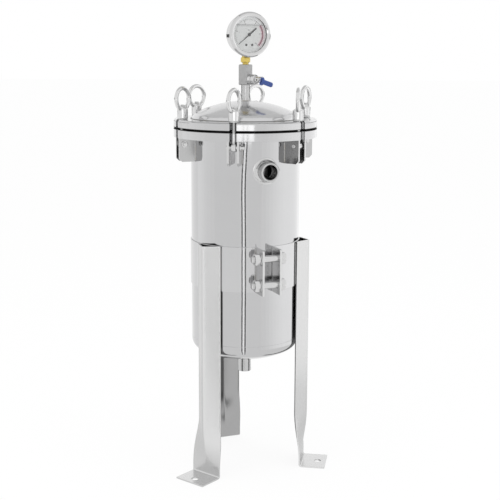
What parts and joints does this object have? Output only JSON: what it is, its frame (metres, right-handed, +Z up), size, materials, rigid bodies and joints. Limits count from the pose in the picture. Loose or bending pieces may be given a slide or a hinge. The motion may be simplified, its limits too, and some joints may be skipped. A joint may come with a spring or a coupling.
{
  "type": "bag filter housing",
  "caption": "Stainless steel bag filter housing on folded legs: swing-bolted domed cover with gauge and vent valve, side inlet and bottom outlet.",
  "frame": {"origin": "on the floor, at the centre of the three foot holes, on the vessel's axis", "axes": "+Z up along the vessel's axis, -Y is the front, from which the picture was taken, +X its right"},
  "size_m": [0.323, 0.3328, 0.9291],
  "materials": {
    "vessel_steel": "polished stainless steel",
    "flange_steel": "fine turned stainless steel",
    "leg_steel": "satin stainless steel strip",
    "bolt_steel": "bright stainless steel",
    "cast_steel": "polished cast stainless steel",
    "blasted_steel": "bead-blasted stainless steel",
    "perforated_steel": "mill finish stainless steel sheet",
    "gauge_steel": "mirror polished",
    "brass": "machined",
    "gasket_rubber": "smooth",
    "window_glass": "clear",
    "dial_enamel": "printed white enamel",
    "pointer_enamel": "matt black enamel",
    "sleeve_vinyl": "dipped vinyl",
    "seat_plastic": "smooth",
    "plug_rubber": "smooth",
    "filter_felt": "needle felt"
  },
  "bodies": {
    "housing": {"vessel_shell": "vessel_steel", "bottom_head": "vessel_steel", "bottom_outlet": "vessel_steel", "inlet_nozzle": "vessel_steel", "body_flange": "flange_steel", "lid_gasket": "gasket_rubber", "lid_flange": "flange_steel", "lid_dome": "vessel_steel", "gauge_nipple": "vessel_steel", "tee_block": "blasted_steel", "brass_connector": "brass", "gauge_case": "gauge_steel", "gauge_bezel": "gauge_steel", "gauge_window": "window_glass", "gauge_dial": "dial_enamel", "gauge_movement": "brass", "bourdon_tube": "brass", "gauge_plug": "plug_rubber", "valve_body": "bolt_steel", "valve_seats": "seat_plastic", "hinge_lugs": "flange_steel", "hinge_pins": "bolt_steel", "leg_band": "leg_steel", "clamp_ears": "leg_steel", "clamp_bolts": "bolt_steel", "clamp_washers": "bolt_steel", "clamp_nuts": "bolt_steel", "leg_1": "leg_steel", "leg_2": "leg_steel", "leg_3": "leg_steel", "filter_basket": "perforated_steel", "filter_bag": "filter_felt", "bag_ring": "perforated_steel", "basket_seal": "gasket_rubber"},
    "vent_handle": {"valve_ball": "bolt_steel", "valve_stem": "bolt_steel", "valve_lever": "bolt_steel", "lever_sleeve": "sleeve_vinyl", "stem_nut": "bolt_steel"},
    "pressure_pointer": {"gauge_pointer": "pointer_enamel"},
    "bolt_1": {"swing_bolt_1": "bolt_steel"},
    "washer_1": {"bolt_washer_1": "bolt_steel"},
    "nut_1": {"eye_nut_1": "cast_steel"},
    "bolt_2": {"swing_bolt_2": "bolt_steel"},
    "washer_2": {"bolt_washer_2": "bolt_steel"},
    "nut_2": {"eye_nut_2": "cast_steel"},
    "bolt_3": {"swing_bolt_3": "bolt_steel"},
    "washer_3": {"bolt_washer_3": "bolt_steel"},
    "nut_3": {"eye_nut_3": "cast_steel"},
    "bolt_4": {"swing_bolt_4": "bolt_steel"},
    "washer_4": {"bolt_washer_4": "bolt_steel"},
    "nut_4": {"eye_nut_4": "cast_steel"},
    "bolt_5": {"swing_bolt_5": "bolt_steel"},
    "washer_5": {"bolt_washer_5": "bolt_steel"},
    "nut_5": {"eye_nut_5": "cast_steel"},
    "bolt_6": {"swing_bolt_6": "bolt_steel"},
    "washer_6": {"bolt_washer_6": "bolt_steel"},
    "nut_6": {"eye_nut_6": "cast_steel"}
  },
  "joints": [
    {"name": "vent_handle_turn", "type": "hinge", "parent": "housing", "child": "vent_handle", "pos_m": [0.02924, -0.02101, 0.79782], "axis": [-0.5835, -0.8121, 0], "range_deg": [-74.2, 15.8]},
    {"name": "pointer_turn", "type": "hinge", "parent": "housing", "child": "pressure_pointer", "pos_m": [0, 0, 0.88512], "axis": [-0.3907, 0.9205, 0], "range_deg": [0, 270], "stiffness_Nm_per_rad": 0.0005},
    {"name": "bolt_1_swing", "type": "hinge", "parent": "housing", "child": "bolt_1", "pos_m": [-0.02149, -0.12983, 0.6733], "axis": [0.9866, -0.1633, 0], "range_deg": [0, 160]},
    {"name": "washer_1_lift", "type": "slide", "parent": "bolt_1", "child": "washer_1", "axis": [0, 0, 1], "range_m": [0, 0.0156]},
    {"name": "nut_1_turn", "type": "hinge", "parent": "washer_1", "child": "nut_1", "pos_m": [-0.02149, -0.12983, 0.76085], "axis": [0, 0, 1], "range_deg": [0, 3700]},
    {"name": "bolt_2_swing", "type": "hinge", "parent": "housing", "child": "bolt_2", "pos_m": [0.10169, -0.08353, 0.6733], "axis": [0.6347, 0.7727, 0], "range_deg": [0, 160]},
    {"name": "washer_2_lift", "type": "slide", "parent": "bolt_2", "child": "washer_2", "axis": [0, 0, 1], "range_m": [0, 0.0156]},
    {"name": "nut_2_turn", "type": "hinge", "parent": "washer_2", "child": "nut_2", "pos_m": [0.10169, -0.08353, 0.76085], "axis": [0, 0, 1], "range_deg": [0, 3700]},
    {"name": "bolt_3_swing", "type": "hinge", "parent": "housing", "child": "bolt_3", "pos_m": [0.12319, 0.0463, 0.6733], "axis": [-0.3518, 0.9361, 0], "range_deg": [0, 160]},
    {"name": "washer_3_lift", "type": "slide", "parent": "bolt_3", "child": "washer_3", "axis": [0, 0, 1], "range_m": [0, 0.0156]},
    {"name": "nut_3_turn", "type": "hinge", "parent": "washer_3", "child": "nut_3", "pos_m": [0.12319, 0.0463, 0.76085], "axis": [0, 0, 1], "range_deg": [0, 3700]},
    {"name": "bolt_4_swing", "type": "hinge", "parent": "housing", "child": "bolt_4", "pos_m": [0.02149, 0.12983, 0.6733], "axis": [-0.9866, 0.1633, 0], "range_deg": [0, 160]},
    {"name": "washer_4_lift", "type": "slide", "parent": "bolt_4", "child": "washer_4", "axis": [0, 0, 1], "range_m": [0, 0.0156]},
    {"name": "nut_4_turn", "type": "hinge", "parent": "washer_4", "child": "nut_4", "pos_m": [0.02149, 0.12983, 0.76085], "axis": [0, 0, 1], "range_deg": [0, 3700]},
    {"name": "bolt_5_swing", "type": "hinge", "parent": "housing", "child": "bolt_5", "pos_m": [-0.10169, 0.08353, 0.6733], "axis": [-0.6347, -0.7727, 0], "range_deg": [0, 160]},
    {"name": "washer_5_lift", "type": "slide", "parent": "bolt_5", "child": "washer_5", "axis": [0, 0, 1], "range_m": [0, 0.0156]},
    {"name": "nut_5_turn", "type": "hinge", "parent": "washer_5", "child": "nut_5", "pos_m": [-0.10169, 0.08353, 0.76085], "axis": [0, 0, 1], "range_deg": [0, 3700]},
    {"name": "bolt_6_swing", "type": "hinge", "parent": "housing", "child": "bolt_6", "pos_m": [-0.12319, -0.0463, 0.6733], "axis": [0.3518, -0.9361, 0], "range_deg": [0, 160]},
    {"name": "washer_6_lift", "type": "slide", "parent": "bolt_6", "child": "washer_6", "axis": [0, 0, 1], "range_m": [0, 0.0156]},
    {"name": "nut_6_turn", "type": "hinge", "parent": "washer_6", "child": "nut_6", "pos_m": [-0.12319, -0.0463, 0.76085], "axis": [0, 0, 1], "range_deg": [0, 3700]}
  ],
  "couplings": [
    {"joint": "washer_1_lift", "follows": "bolt_1_swing", "m_per_rad": 0.0055},
    {"joint": "nut_1_turn", "follows": "bolt_1_swing", "ratio": 23.038},
    {"joint": "washer_2_lift", "follows": "bolt_2_swing", "m_per_rad": 0.0055},
    {"joint": "nut_2_turn", "follows": "bolt_2_swing", "ratio": 23.038},
    {"joint": "washer_3_lift", "follows": "bolt_3_swing", "m_per_rad": 0.0055},
    {"joint": "nut_3_turn", "follows": "bolt_3_swing", "ratio": 23.038},
    {"joint": "washer_4_lift", "follows": "bolt_4_swing", "m_per_rad": 0.0055},
    {"joint": "nut_4_turn", "follows": "bolt_4_swing", "ratio": 23.038},
    {"joint": "washer_5_lift", "follows": "bolt_5_swing", "m_per_rad": 0.0055},
    {"joint": "nut_5_turn", "follows": "bolt_5_swing", "ratio": 23.038},
    {"joint": "washer_6_lift", "follows": "bolt_6_swing", "m_per_rad": 0.0055},
    {"joint": "nut_6_turn", "follows": "bolt_6_swing", "ratio": 23.038}
  ]
}
